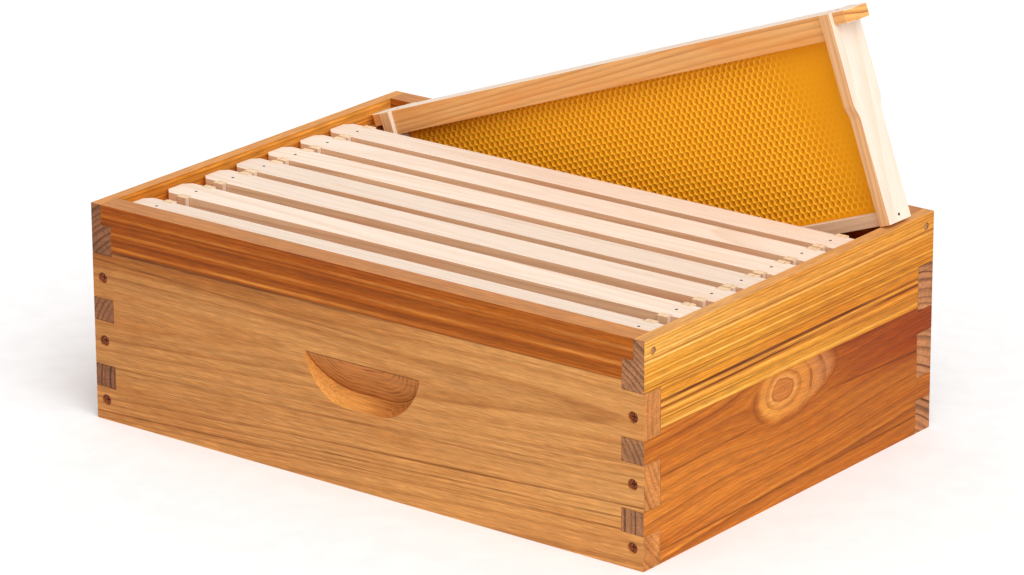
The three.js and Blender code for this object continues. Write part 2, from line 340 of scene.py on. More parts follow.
HANDHOLD = {
    "centre": 0.0035,
    "top": 0.097,
    "travel": 0.014,
    "above": 0.0063,
    "lean": math.cos(math.radians(26)),
    "radius": 0.0395,
    "mark": 0.0036,
    "bottom": 0.055,
    "reach": 0.07,
    "depth": 0.0175,
    "flat": 0.75,
}


def handhold_color(s, color, along, across):
    """The milled pocket: its floor keeps the cutter's arcs, with a painted shadow line under its top
    edge and a painted dark crease line and pale highlight line along its rim by the wall; its wall is
    painted bright as if lit from above.
    """
    floor = s.scalar("milled_floor")
    wall = s.scalar("milled_wall")
    side = s.math("ABSOLUTE", s.sub(along, HANDHOLD["centre"]))
    side = s.math("MAXIMUM", s.sub(side, HANDHOLD["travel"]), 0.0)
    rise = s.sub(across, HANDHOLD["top"] + HANDHOLD["above"])
    rise = s.math("DIVIDE", rise, HANDHOLD["lean"])
    far = s.math("SQRT", s.add(s.mul(side, side), s.mul(rise, rise)))
    shaky = s.noise(s.join(s.mul(along, 40.0), s.mul(across, 60.0), 0.0), 2)
    turns = s.add(s.math("DIVIDE", far, HANDHOLD["mark"]), s.mul(shaky, 1.3))
    arcs = late_wood(s, turns, (0.15, 0.7), 0.3)
    worn = s.span(s.noise(s.stretch(s.vector("grain"), (55, 90, 90)), 2), 0.35, 0.65, 0.2, 0.95)
    milled = s.blend(s.mul(arcs, worn), tint(192, 120, 60), tint(122, 64, 24))
    # Painted shadow: a dark line along the floor just under the pocket's straight top edge.
    edge = s.span(across, HANDHOLD["top"] - 0.0016, HANDHOLD["top"] - 0.0003)
    milled = s.blend(s.mul(edge, 0.8), milled, tint(110, 55, 20))
    # Along the floor's curved rim by the wall: a painted dark band of crease shade a few millimetres
    # in, and a painted pale highlight line right at the wall.
    inner = s.sub(HANDHOLD["radius"], far)
    crease_shade = s.mul(s.span(inner, 0.0009, 0.0014), s.span(inner, 0.0016, 0.0028, 1.0, 0.0))
    milled = s.blend(s.mul(crease_shade, 0.7), milled, tint(120, 60, 16))
    milled = s.blend(s.span(inner, 0.0004, 0.001, 0.7, 0.0), milled, tint(232, 162, 84))
    color = s.blend(s.mul(floor, 0.92), color, milled)
    # The wall's colour is partly its own cross-grain wood and partly painted light: bright on one side
    # of the arc, where it faces the light, and darker on the other.
    glow = s.span(along, HANDHOLD["centre"] - 0.012, HANDHOLD["centre"] + 0.022)
    grooves = s.mul(late_wood(s, s.add(s.mul(across, 420.0), shaky), (0.2, 0.8), 0.2), glow)
    lit_wall = s.blend(glow, tint(224, 152, 74), tint(188, 112, 52))
    lit_wall = s.blend(s.mul(grooves, 0.6), lit_wall, tint(126, 64, 18))
    return s.blend(s.mul(wall, 0.85), color, lit_wall)


def knot_place(s, knot, along, across):
    """Distance from a knot's heart, where 1 is its rim. The knot is drawn out towards +X."""
    a = s.sub(along, knot["at"][0])
    b = s.sub(across, knot["at"][1])
    turn = math.radians(knot["turn"])
    u = s.add(s.mul(a, math.cos(turn)), s.mul(b, math.sin(turn)))
    v = s.sub(s.mul(b, math.cos(turn)), s.mul(a, math.sin(turn)))
    reach = s.span(u, -0.012, 0.012, knot["size"][0], knot["size"][1])
    u = s.math("DIVIDE", u, reach)
    v = s.math("DIVIDE", v, knot["size"][2])
    far = s.math("SQRT", s.add(s.mul(u, u), s.mul(v, v)))
    return far, a, b


def bend_round(s, bent, knot, along, across, lower):
    """Pushes the grain lines out of the way of a knot."""
    far, _, b = knot_place(s, knot, along, across)
    push = s.math("EXPONENT", s.mul(s.mul(far, far), -0.35))
    way = s.span(b, -0.014, 0.014, -0.014, 0.014)
    return s.sub(bent, s.mul(s.mul(push, way), lower))


def knot_color(s, color, knot, along, across, lower):
    """Rings around where a branch left the trunk: a small round heart, then wide rings that run out
    to the upper right and lose themselves in the board."""
    far, a, b = knot_place(s, knot, along, across)
    slow = s.noise(s.join(s.mul(a, 38.0), s.mul(b, 38.0), 0.0), 2)
    ripple = s.noise(s.join(s.mul(a, 110.0), s.mul(b, 110.0), 0.0), 3)
    far = s.add(far, s.mul(s.sub(slow, 0.5), 0.22))
    far = s.add(far, s.mul(s.sub(ripple, 0.5), 0.1))
    patch = s.noise(s.join(s.mul(a, 60.0), s.mul(b, 60.0), 3.0), 2)
    swing = s.mul(s.span(a, 0.0, 0.03), s.span(b, -0.024, 0.004))
    reach = s.add(1.03, s.mul(swing, knot["reach"] - 1.03))
    past = s.sub(far, reach)
    inside = s.mul(s.span(past, -0.3, 0.03, 1.0, 0.0), lower)
    wide = late_wood(s, s.add(s.mul(far, 2.6), 0.35), (0.45, 0.93), 0.6)
    wide = s.mul(wide, s.span(patch, 0.35, 0.6, 0.35, 1.0))
    close = late_wood(s, s.mul(far, 8.0), (0.3, 0.85), 0.2)
    close = s.mul(close, s.span(patch, 0.3, 0.65, 0.2, 0.75))
    faint = s.mul(late_wood(s, s.mul(far, 13.0), (0.3, 0.8), 0.1), 0.3)
    rings = s.between(s.span(far, 0.4, 0.46), close, s.math("MAXIMUM", wide, faint))
    body = s.blend(s.span(far, 0.85, 1.35), knot["light"], knot["outer"])
    glow = s.mul(s.span(a, 0.012, -0.022), s.span(b, 0.008, -0.012))
    body = s.blend(s.mul(glow, 0.6), body, knot["glow"])
    body = s.blend(s.mul(s.span(far, 0.36, 0.44, 1.0, 0.0), 0.8), body, knot["heart"])
    pale = s.mul(s.span(far, 0.36, 0.42), s.span(far, 0.44, 0.5, 1.0, 0.0))
    body = s.blend(s.mul(pale, s.span(patch, 0.35, 0.6, 0.3, 0.8)), body, knot["pale"])
    body = s.blend(s.mul(rings, 0.8), body, knot["dark"])
    color = s.blend(s.mul(inside, 0.85), color, body)
    rim = s.mul(s.span(past, -0.05, 0.01), s.span(past, 0.01, 0.14, 1.0, 0.0))
    rim = s.mul(rim, s.span(patch, 0.35, 0.6, 0.15, 0.55))
    return s.blend(s.mul(rim, lower), color, knot["dark"])


PALE_STROKE = tint(216, 144, 72)
GOLD_STROKE = tint(250, 184, 92)
DARK_STROKE = tint(96, 42, 8)


# Places before any board's start, so that a mark which fades in between them runs along all of it.
WHOLE_BOARD = (-2.0, -1.9)


def line(at, slope, width, strength, color, upper, ends=WHOLE_BOARD):
    """A single line of the grain: its height, and the places along the board where it fades in."""
    return {
        "at": at,
        "slope": slope,
        "width": width,
        "strength": strength,
        "color": color,
        "upper": upper,
        "ends": ends,
    }


def zone(start, end, gain, upper, ends=WHOLE_BOARD):
    """The heights on a board's face between which its colour changes, and the places along it."""
    return {"from": start, "to": end, "gain": (*gain, 1), "upper": upper, "ends": ends}


SIDE_LOOK = {
    "shift": 0.0,
    "joint": (0.1355, 0.006),
    "lower": {
        "pith": (0.098, 0.046),
        "slope": (0.045, 0.0177),
        "spacing": 0.0062,
        "phase": 0.5,
        "wander": 0.009,
        "bold": 0.42,
        "fine": 0.46,
        "pale": 0.3,
        "drift": ((0.9, 0.98, 1.22, 1), (1.14, 1.32, 1.7, 1)),
        "light": tint(198, 130, 64),
        "bright": tint(212, 147, 80),
        "mid": tint(176, 106, 46),
        "dark": tint(130, 68, 22),
    },
    "upper": {
        "pith": (-0.3, 0.02),
        "slope": (0.006, 0.02),
        "spacing": 0.0085,
        "phase": 0.0,
        "wander": 0.006,
        "bold": 0.6,
        "fine": 0.6,
        "pale": 0.3,
        "drift": ((0.86, 0.72, 0.4, 1), (1.1, 1.06, 1.0, 1)),
        "light": tint(168, 90, 22),
        "bright": tint(192, 118, 44),
        "mid": tint(144, 70, 10),
        "dark": tint(114, 48, 2),
    },
    "zones": [
        zone(0.112, 0.128, (0.76, 0.6, 0.42), upper=False, ends=(0.14, -0.22)),
        zone(0.03, 0.01, (0.88, 0.82, 0.8), upper=False, ends=(0.0, 0.24)),
        zone(0.03, 0.012, (1.08, 1.1, 1.12), upper=False, ends=(0.0, -0.15)),
        zone(0.048, 0.036, (1.1, 1.12, 1.1), upper=False, ends=(-0.04, 0.1)),
    ],
    "strokes": [
        line(0.1604, 0.0, 0.0018, 0.45, PALE_STROKE, upper=True),
        line(0.1545, 0.0, 0.0026, 0.45, DARK_STROKE, upper=True),
        line(0.1478, 0.001, 0.0018, 0.5, PALE_STROKE, upper=True),
        line(0.1425, 0.001, 0.0024, 0.4, DARK_STROKE, upper=True),
        line(0.1382, 0.006, 0.0016, 0.8, PALE_STROKE, upper=True, ends=(0.22, -0.12)),
        line(0.1344, 0.006, 0.0014, 0.8, DARK_STROKE, upper=False, ends=(0.16, -0.1)),
        line(0.1185, -0.028, 0.0012, 0.45, DARK_STROKE, upper=False, ends=(0.06, -0.02)),
        line(0.0330, 0.055, 0.0011, 0.6, DARK_STROKE, upper=False, ends=(-0.2, 0.1)),
        line(0.0245, 0.050, 0.0010, 0.6, DARK_STROKE, upper=False, ends=(-0.25, 0.0)),
        line(0.0175, 0.045, 0.0010, 0.5, DARK_STROKE, upper=False),
        line(0.0520, 0.040, 0.0014, 0.35, DARK_STROKE, upper=False),
    ],
    "stain": tint(226, 200, 176),
    "end_pith": (0.113, 0.12),
    "end_spacing": 0.0052,
    "end_contrast": 0.7,
    "end_drift": ((0.6, 0.5, 0.5, 1), (0.9, 0.8, 0.7, 1)),
    "end_light": tint(218, 148, 82),
    "end_dark": tint(150, 84, 36),
    "reach": 0.25,
    # The top rim's colour below is painted light from above.
    "lit_rim": tint(222, 160, 104),
    "glue": 0.45,
    "glue_color": tint(90, 36, 8),
    "knots": [],
}

END_LOOK = {
    "shift": 0.0,
    "joint": (0.099, -0.004),
    "lower": {
        "pith": (-0.02, 0.05),
        "slope": (0.02, -0.03),
        "spacing": 0.0095,
        "phase": 0.0,
        "wander": 0.016,
        "bold": 0.52,
        "fine": 0.56,
        "pale": 0.4,
        "drift": ((1.02, 1.08, 1.05, 1), (0.7, 0.62, 0.45, 1)),
        "light": tint(212, 124, 42),
        "bright": tint(228, 148, 62),
        "mid": tint(180, 92, 26),
        "dark": tint(128, 54, 10),
    },
    "upper": {
        "pith": (-0.35, 0.03),
        "slope": (0.004, 0.02),
        "spacing": 0.0056,
        "phase": 0.0,
        "wander": 0.006,
        "bold": 0.58,
        "fine": 0.66,
        "pale": 0.45,
        "drift": ((1.06, 1.26, 1.5, 1), (0.87, 0.84, 0.62, 1)),
        "light": tint(224, 144, 40),
        "bright": tint(242, 176, 82),
        "mid": tint(186, 102, 18),
        "dark": tint(130, 58, 6),
    },
    "zones": [
        zone(0.045, 0.08, (0.84, 0.74, 0.55), upper=False),
        zone(0.055, 0.075, (0.85, 0.65, 0.4), upper=False, ends=(0.02, 0.1)),
        zone(0.05, 0.07, (0.92, 0.75, 0.35), upper=False, ends=(0.09, 0.16)),
        zone(0.146, 0.158, (1.03, 1.14, 2.2), upper=True),
        zone(0.135, 0.142, (1.08, 1.06, 1.0), upper=True),
        zone(0.135, 0.12, (1.06, 0.96, 0.82), upper=True),
        zone(0.114, 0.108, (1.0, 1.12, 1.37), upper=True),
    ],
    "strokes": [
        line(0.1205, 0.006, 0.0017, 1.0, DARK_STROKE, upper=True),
        line(0.1155, 0.007, 0.0014, 0.95, DARK_STROKE, upper=True),
        line(0.1070, 0.004, 0.0009, 0.6, DARK_STROKE, upper=True),
        line(0.1310, 0.003, 0.0008, 0.5, DARK_STROKE, upper=True),
        line(0.1440, 0.001, 0.0008, 0.5, DARK_STROKE, upper=True),
        line(0.1555, 0.001, 0.0007, 0.4, DARK_STROKE, upper=True),
        line(0.1180, 0.006, 0.0010, 0.7, GOLD_STROKE, upper=True),
        line(0.1380, 0.002, 0.0012, 0.5, GOLD_STROKE, upper=True),
        line(0.1120, 0.004, 0.0012, 0.6, GOLD_STROKE, upper=True),
        line(0.1015, 0.002, 0.0014, 0.5, GOLD_STROKE, upper=True),
        line(0.1520, 0.001, 0.0010, 0.4, GOLD_STROKE, upper=True),
        line(0.0690, 0.030, 0.0012, 0.6, DARK_STROKE, upper=False, ends=(-0.02, -0.07)),
        line(0.0700, -0.03, 0.0012, 0.6, DARK_STROKE, upper=False, ends=(0.03, 0.07)),
        line(0.0120, 0.012, 0.0013, 0.6, DARK_STROKE, upper=False),
    ],
    "stain": tint(232, 206, 176),
    "end_pith": (0.035, 0.09),
    "end_spacing": 0.0044,
    "end_contrast": 0.85,
    "end_drift": ((1.1, 0.98, 0.84, 1), (0.72, 0.58, 0.5, 1)),
    "end_light": tint(164, 118, 86),
    "end_dark": tint(62, 32, 18),
    "reach": 0.17,
    # The top rim's colour below is painted light from above.
    "lit_rim": tint(226, 164, 106),
    "glue": 0.3,
    "glue_color": tint(140, 66, 16),
    "knots": [
        {
            "at": (-0.0140, 0.0850),
            "size": (0.0325, 0.040, 0.0235),
            "turn": -6,
            "reach": 1.75,
            "light": tint(222, 142, 60),
            "outer": tint(204, 130, 74),
            "glow": tint(240, 166, 70),
            "heart": tint(196, 116, 52),
            "pale": tint(238, 172, 96),
            "dark": tint(132, 62, 18),
        },
    ],
}


def opposite(look, rise, upper, lower):
    """The look of the board across the box: cut from another part of the tree, with its joint and
    lines higher by rise, and with no knot."""
    return {
        **look,
        "shift": BOARD_SHIFT,
        "joint": (look["joint"][0] + rise, -look["joint"][1]),
        "upper": {**look["upper"], **upper},
        "lower": {**look["lower"], **lower},
        "zones": [],
        "strokes": [{**mark, "at": mark["at"] + rise} for mark in look["strokes"][::2]],
        "knots": [],
    }


LEFT_LOOK = {
    **opposite(
        SIDE_LOOK,
        -0.012,
        upper={"phase": 0.4, "pith": (-0.24, 0.03)},
        lower={"phase": 0.3, "pith": (0.03, 0.05), "slope": (-0.03, 0.02)},
    ),
    "end_pith": (-0.06, 0.05),
    "end_spacing": 0.0062,
    "end_contrast": 1.0,
    "end_drift": ((0.6, 0.51, 0.42, 1), (0.82, 0.72, 0.7, 1)),
    "end_light": tint(234, 168, 118),
    "end_dark": tint(104, 50, 24),
}

REAR_LOOK = opposite(
    END_LOOK,
    0.009,
    upper={
        "pith": (-0.3, 0.035),
        "bold": 0.45,
        "light": tint(228, 146, 56),
        "bright": tint(240, 164, 76),
        "mid": tint(202, 114, 34),
        "dark": tint(146, 72, 14),
    },
    lower={"phase": 0.5, "pith": (-0.03, 0.045), "slope": (-0.02, 0.02)},
)


PALE_RING = 4.4 * MM


def pale_wood():
    """The frames' pale softwood. Its side faces, marked "warm", are tanner and show more grain: partly
    the wood's own colour, partly painted warm shade.
    """
    s = Surface("pale_wood")
    grain = s.vector("grain")
    warm = s.scalar("warm")
    end = s.scalar("end_grain")
    tone = s.scalar("tone")
    radius = tree_radius(s, grain, (0.0, 0.0), (0.02, 0.03), 0.012)
    count = s.add(s.math("DIVIDE", radius, PALE_RING), s.mul(s.wave(radius, 70.0), 1.5))
    late = late_wood(s, count, (0.3, 0.9))
    fine, coarse = fibres(s, grain)
    cloud = s.noise(s.stretch(grain, (7, 60, 60)), 3, 0.55)
    pale = s.blend(s.mul(late, 0.4), tint(243, 222, 203), tint(220, 184, 150))
    pale = s.blend(s.span(cloud, 0.5, 0.8, 0.0, 0.35), pale, tint(230, 186, 150))
    # Faces marked "warm" take this tan colour: partly the wood's own colour, partly painted warm shade
    # on the bars' sides.
    tan = s.blend(s.mul(late, 0.6), tint(230, 170, 104), tint(178, 108, 50))
    tan = s.blend(s.span(cloud, 0.45, 0.7, 0.0, 0.75), tan, tint(224, 142, 66))
    color = s.blend(warm, pale, tan)
    cut = s.blend(s.mul(late, 0.7), tint(240, 210, 172), tint(204, 156, 108))
    ripe = s.blend(s.mul(late, 0.9), tint(240, 172, 96), tint(170, 96, 40))
    color = s.blend(end, color, s.blend(warm, cut, ripe))
    color = shade(s, color, fine, 0.94, 1.05)
    color = shade(s, color, coarse, 0.95, 1.04)
    color = s.brighten(color, s.span(tone, 0.0, 1.0, 0.94, 1.04, smooth=False))
    height = s.add(s.mul(fine, 0.6), s.mul(coarse, 0.6))
    normal = s.bump(height, 0.0002, 0.35)
    return s.finish(color, 0.62, normal, Specular_IOR_Level=0.3)


def wax():
    """Milled wax foundation. "pit" is 0 on the cell walls' crests and 1 at the cell bottoms, and
    "flank" runs from -1 to 1 between the walls' two sides. The colour paints shade into the cell
    bottoms, and paints the flanks lit where they face +X and shaded where they face -X."""
    s = Surface("foundation_wax")
    pit = s.scalar("pit")
    flank = s.scalar("flank")
    grain = s.vector("grain")
    cloud = s.noise(s.stretch(grain, (16, 16, 16)), 3, 0.55)
    crest = s.blend(s.span(cloud, 0.35, 0.7, 0.0, 0.5), tint(252, 178, 24), tint(246, 166, 10))
    # Painted shade: the cell bottoms are painted darker, as shade in the hollows.
    color = s.blend(s.math("POWER", pit, 1.2), crest, tint(212, 122, 0))
    # Painted light and shade: flanks facing +X are painted bright as if lit, and flanks facing -X are
    # painted dark as if shaded.
    color = s.blend(s.span(flank, 0.1, 0.7, 0.0, 0.7), color, tint(255, 196, 52))
    color = s.blend(s.span(flank, -0.1, -0.7, 0.0, 0.6), color, tint(188, 98, 0))
    speck = s.noise(s.stretch(grain, (1500, 1500, 1500)), 2)
    normal = s.bump(speck, 0.00012, 0.25)
    roughness = s.span(speck, 0.3, 0.7, 0.34, 0.48)
    return s.finish(
        color,
        roughness,
        normal,
        Subsurface_Weight=0.04,
        Subsurface_Radius=(0.003, 0.0016, 0.0004),
        Specular_IOR_Level=0.12,
    )


def steel(name, color, rust, metallic):
    """Dull, lightly rusted steel."""
    s = Surface(name)
    place = s.vector("grain")
    spots = s.noise(s.stretch(place, (900, 900, 900)), 3, 0.6)
    tone = s.blend(s.span(spots, 0.4, 0.65), color, rust)
    normal = s.bump(spots, 0.0001, 0.4)
    return s.finish(tone, s.span(spots, 0.3, 0.7, 0.45, 0.7), normal, Metallic=metallic)


# ---- Meshes --------------------------------------------------------------------------------------

SHARP = math.radians(32)
# A face looks along a direction if its normal's share of that direction is over this.
FACING = 0.7


def cad_mesh(node, to_local=Matrix.Identity(4)):
    """A CAD node's surface with its triangles merged back into flat faces."""
    bm = bmesh.new()
    bm.from_mesh(NODES[node].data)
    bmesh.ops.remove_doubles(bm, verts=bm.verts, dist=1e-5)
    bmesh.ops.dissolve_limit(bm, angle_limit=math.radians(0.5), verts=bm.verts, edges=bm.edges)
    bmesh.ops.transform(bm, matrix=to_local, verts=bm.verts)
    bm.normal_update()
    return bm


def soften(bm, width):
    """Rounds the arrises a little."""
    edges = [e for e in bm.edges if len(e.link_faces) == 2 and e.calc_face_angle(0) > SHARP]
    bmesh.ops.bevel(
        bm,
        geom=edges,
        offset=width,
        offset_type="OFFSET",
        affect="EDGES",
        segments=2,
        profile=0.5,
        clamp_overlap=True,
    )
    return bm


def add_object(name, mesh, material, body, replaced=None):
    obj = bpy.data.objects.new(name, mesh)
    bpy.context.scene.collection.objects.link(obj)
    mesh.materials.clear()
    mesh.materials.append(material)
    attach(obj, body)
    if replaced:
        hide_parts(replaced)
    return obj


def to_mesh(name, bm, smooth=True):
    mesh = bpy.data.meshes.new(name)
    for face in bm.faces:
        face.smooth = smooth
    for edge in bm.edges:
        edge.smooth = len(edge.link_faces) == 2 and edge.calc_face_angle(0) < SHARP
    bm.to_mesh(mesh)
    bm.free()
    return mesh


def weight_normals(obj):
    modifier = obj.modifiers.new("flat_faces", "WEIGHTED_NORMAL")
    modifier.keep_sharp = True
    modifier.weight = 100


def write_point(mesh, name, values):
    attribute = mesh.attributes.new(name, "FLOAT_VECTOR", "POINT")
    attribute.data.foreach_set("vector", np.asarray(values, np.float32).ravel())


def write_scalar(mesh, name, values, domain="FACE"):
    attribute = mesh.attributes.new(name, "FLOAT", domain)
    attribute.data.foreach_set("value", np.asarray(values, np.float32).ravel())


def points_of(mesh):
    flat = np.empty(len(mesh.vertices) * 3)
    mesh.vertices.foreach_get("co", flat)
    return flat.reshape(-1, 3)


def normals_of(mesh):
    flat = np.empty(len(mesh.polygons) * 3)
    mesh.polygons.foreach_get("normal", flat)
    return flat.reshape(-1, 3)


def mark_grain(mesh, axes, origin):
    """Writes the piece's place in its tree. axes are the fibre, face and depth directions."""
    axes = np.array(axes, float)
    write_point(mesh, "grain", (points_of(mesh) - np.array(origin)) @ axes.T)
    write_scalar(mesh, "end_grain", np.abs(normals_of(mesh) @ axes[0]) > FACING)


# ---- Box -----------------------------------------------------------------------------------------

BOARD_EDGE = 0.35 * MM
METAL_EDGE = 0.12 * MM


def mark_handhold(mesh):
    """Marks the faces of the milled pocket: its floor and its curved wall."""
    floor, wall = [], []
    for face, normal in zip(mesh.polygons, normals_of(mesh)):
        place = Vector(face.center)
        inward = HALF_WIDTH - abs(place.y)
        level = HANDHOLD["bottom"] < place.z < HANDHOLD["top"] + MM
        sunk = 0.2 * MM < inward < HANDHOLD["depth"]
        inside = level and sunk and abs(place.x) < HANDHOLD["reach"]
        facing = abs(normal[1])
        floor.append(inside and facing > HANDHOLD["flat"])
        wall.append(inside and facing <= HANDHOLD["flat"])
    write_scalar(mesh, "milled_floor", floor)
    write_scalar(mesh, "milled_wall", wall)


def mark_lit_rim(mesh):
    """Marks the box's top rim, whose colour is painted paler as light falling on it from above."""
    faces = zip(mesh.polygons, normals_of(mesh))
    up = [normal[2] > FACING and face.center.z > HEIGHT - MM for face, normal in faces]
    write_scalar(mesh, "lit_rim", up)


def add_boards():
    boards = {
        "right_side_board": (SIDE_LOOK, [(1, 0, 0), (0, 0, 1), (0, 1, 0)], (0, -HALF_WIDTH, 0)),
        "left_side_board": (LEFT_LOOK, [(-1, 0, 0), (0, 0, 1), (0, -1, 0)], (0, HALF_WIDTH, 0)),
        "front_end_board": (END_LOOK, [(0, 1, 0), (0, 0, 1), (-1, 0, 0)], (HALF_LENGTH, 0, 0)),
        "rear_end_board": (REAR_LOOK, [(0, -1, 0), (0, 0, 1), (1, 0, 0)], (-HALF_LENGTH, 0, 0)),
    }
    for node, (look, axes, origin) in boards.items():
        material = board_wood(node + "_waxed_wood", look)
        bm = soften(cad_mesh(node), BOARD_EDGE)
        mesh = to_mesh(node + "_wood", bm)
        mark_grain(mesh, axes, origin)
        mark_handhold(mesh)
        mark_lit_rim(mesh)
        board = add_object(node + "_wood", mesh, material, "box", node)
        weight_normals(board)


def add_fasteners():
    """Screws and rim nails keep their turned shape, with softened heads and dull steel."""
    metals = {
        "screw_steel": steel("screw_steel", tint(150, 76, 38), tint(104, 40, 14), metallic=0.25),
        "nail_steel": steel("nail_steel", tint(204, 140, 80), tint(100, 54, 24), metallic=0.15),
    }
    for node in sorted(NODES):
        if node.startswith(("screw_", "rim_nail_")):
            slot = "screw_steel" if node.startswith("screw_") else "nail_steel"
            mesh = to_mesh(node + "_metal", soften(cad_mesh(node), METAL_EDGE))
            write_point(mesh, "grain", points_of(mesh))
            add_object(node + "_metal", mesh, metals[slot], "box", node)


# ---- Frames --------------------------------------------------------------------------------------


def frame_axes(number):
    """A frame's own axes: X along its top bar, Y across it, Z up its end bars. The origin is at the
    middle of its foundation."""
    points = points_of(NODES[f"frame_{number}_foundation"].data)
    corners = np.unique(points.round(6), axis=0)
    middle = corners.mean(0)
    long, high, thin = np.linalg.svd(corners - middle)[2]
    long = long * np.sign(long[0])
    thin = thin * np.sign(thin[1])
    high = np.cross(long, thin)
    turn = Matrix([long, thin, high]).transposed()
    return Matrix.Translation(Vector(middle)) @ turn.to_4x4()


BAR_EDGE = 0.4 * MM

# How tan the frames' side faces are, from 0 to 1: the raised frame's by piece, and the others'. The tan
# is partly the wood's own colour and partly painted warm shade.
WARMTH = {
    "top_bar": 1.0,
    "front_end_bar": 0.85,
    "rear_end_bar": 0.85,
    "bottom_bar": 0.6,
    "lug": 1.0,
    "seated": 0.65,
}


def wooden_part(number, part, home, fibre, material, rng):
    """One bar of a frame, with softened edges and grain of its own."""
    node = f"frame_{number}_{part}"
    bm = soften(cad_mesh(node), BAR_EDGE)
    mesh = to_mesh(node + "_wood", bm)
    local = home.to_3x3().transposed()
    long, thin, high = (np.array(local[i]) for i in range(3))
    axes = {"x": [long, thin, high], "z": [high, thin, long]}[fibre]
    origin = np.array(home.translation)
    along, across = rng.uniform(-3, 3), rng.uniform(-0.05, 0.05)
    depth = rng.choice([-1, 1]) * rng.uniform(0.05, 0.12)
    shift = -(np.array([along, across, depth]) @ np.array(axes))
    mark_grain(mesh, axes, origin + shift)
    normals = normals_of(mesh)
    sides = WARMTH[part] if number == RAISED else WARMTH["seated"]
    ends = WARMTH["lug"] if number == RAISED and part == "top_bar" else 0.0
    # Side faces, and the raised frame's lug ends, are marked warm: their tan colour is partly painted
    # warm shade.
    faces = sides * (np.abs(normals @ thin) > FACING) + ends * (np.abs(normals @ long) > FACING)
    write_scalar(mesh, "warm", faces)
    tone = rng.random()
    write_scalar(mesh, "tone", np.full(len(normals), tone))
    obj = add_object(node + "_wood", mesh, material, f"frame_{number}", node)
    weight_normals(obj)


FOUNDATION = {
    "pitch": 5.45 * MM,
    "inset": 0.58,
    "crest": -0.6 * MM,
    "shelf": (0.15 * MM, 0.4 * MM),
    "pit": 0.6 * MM,
    "fade": (0.13, 0.2),
    "fade_lean": 0.4,
    "least": 0.06,
    "margin": (0.002, 0.009),
    "steep": 0.6,
}


def honeycomb(low, high):
    """One embossed face of the foundation, as vertices, faces and depths below the sheet's face."""
    pitch = FOUNDATION["pitch"]
    radius = pitch / math.sqrt(3)
    rows = math.ceil((high.z - low.z) / (1.5 * radius)) + 2
    columns = math.ceil((high.x - low.x) / pitch) + 2
    vertices, faces, depths, known = [], [], [], {}

    def vertex(x, z, depth):
        vertices.append((x, z))
        depths.append(depth)
        return len(vertices) - 1

    def crest(x, z):
        key = (round(x / pitch * 4), round(z / radius * 4))
        if key not in known:
            known[key] = vertex(x, z, FOUNDATION["crest"])
        return known[key]

    for row in range(rows):
        for column in range(columns):
            x = low.x + (column + 0.5 * (row % 2)) * pitch
            z = low.z + row * 1.5 * radius
            angles = [math.radians(30 + 60 * k) for k in range(6)]
            outer = [crest(x + radius * math.cos(a), z + radius * math.sin(a)) for a in angles]
            small = radius * FOUNDATION["inset"]
            inner = [
                vertex(x + small * math.cos(a), z + small * math.sin(a), FOUNDATION["shelf"][k % 2])
                for k, a in enumerate(angles)
            ]
            middle = vertex(x, z, FOUNDATION["pit"])
            for k in range(6):
                after = (k + 1) % 6
                faces.append((outer[k], outer[after], inner[after], inner[k]))
                faces.append((inner[k], inner[after], middle))
    return vertices, faces, depths


def ease(value, start, end):
    """0 before start, 1 after end, and smooth between."""
    t = min(max((value - start) / (end - start), 0), 1)
    return t * t * (3 - 2 * t)


def relief(x, z, low, high):
    """How deep the cells are pressed at a place: they fade towards the front end bar, and are flat
    where the sheet goes into the bars."""
    height = high.z - low.z
    lean = FOUNDATION["fade_lean"] * (0.5 - (z - low.z) / height) * height
    faded = 1 - (1 - FOUNDATION["least"]) * ease(x - lean, *FOUNDATION["fade"])
    edge = min(x - low.x, high.x - x, z - low.z, high.z - z)
    return faded * ease(edge, *FOUNDATION["margin"])


def foundation_mesh(low, high):
    """The whole sheet: the embossed face, cut to the sheet's outline, and its mirror image behind."""
    flat, faces, depths = honeycomb(low, high)
    points = [(x, low.y + d * relief(x, z, low, high), z) for (x, z), d in zip(flat, depths)]
    mesh = bpy.data.meshes.new("honeycomb")
    mesh.from_pydata(points, [], faces)
    bm = bmesh.new()
    bm.from_mesh(mesh)
    bpy.data.meshes.remove(mesh)
    for axis, side in ((0, low), (0, high), (2, low), (2, high)):
        normal = Vector((0, 0, 0))
        normal[axis] = 1 if side is high else -1
        bmesh.ops.bisect_plane(
            bm,
            geom=bm.verts[:] + bm.edges[:] + bm.faces[:],
            plane_co=side,
            plane_no=normal,
            clear_outer=True,
            dist=1e-7,
        )
    border = [e for e in bm.edges if e.is_boundary]
    walls = bmesh.ops.extrude_edge_only(bm, edges=border)
    for v in walls["geom"]:
        if isinstance(v, bmesh.types.BMVert):
            v.co.y = 0
    copy = bmesh.ops.duplicate(bm, geom=bm.verts[:] + bm.edges[:] + bm.faces[:])
    turned = [g for g in copy["geom"] if isinstance(g, bmesh.types.BMVert)]
    bmesh.ops.scale(bm, vec=(1, -1, 1), verts=turned)
    bmesh.ops.remove_doubles(bm, verts=bm.verts, dist=1e-6)
    bmesh.ops.recalc_face_normals(bm, faces=bm.faces)
    sheet = to_mesh("foundation_sheet", bm, smooth=False)
    places = points_of(sheet)
    depth = FOUNDATION["pit"] - FOUNDATION["crest"]
    pit = np.clip((-low.y - FOUNDATION["crest"] - np.abs(places[:, 1])) / depth, 0, 1)
    write_scalar(sheet, "pit", pit, "POINT")
    # flank: how far each face leans towards +X or -X, which the wax's colour uses for painted light and
    # shade.
    write_scalar(sheet, "flank", np.clip(normals_of(sheet)[:, 0] / FOUNDATION["steep"], -1, 1))
    write_point(sheet, "grain", places)
    return sheet


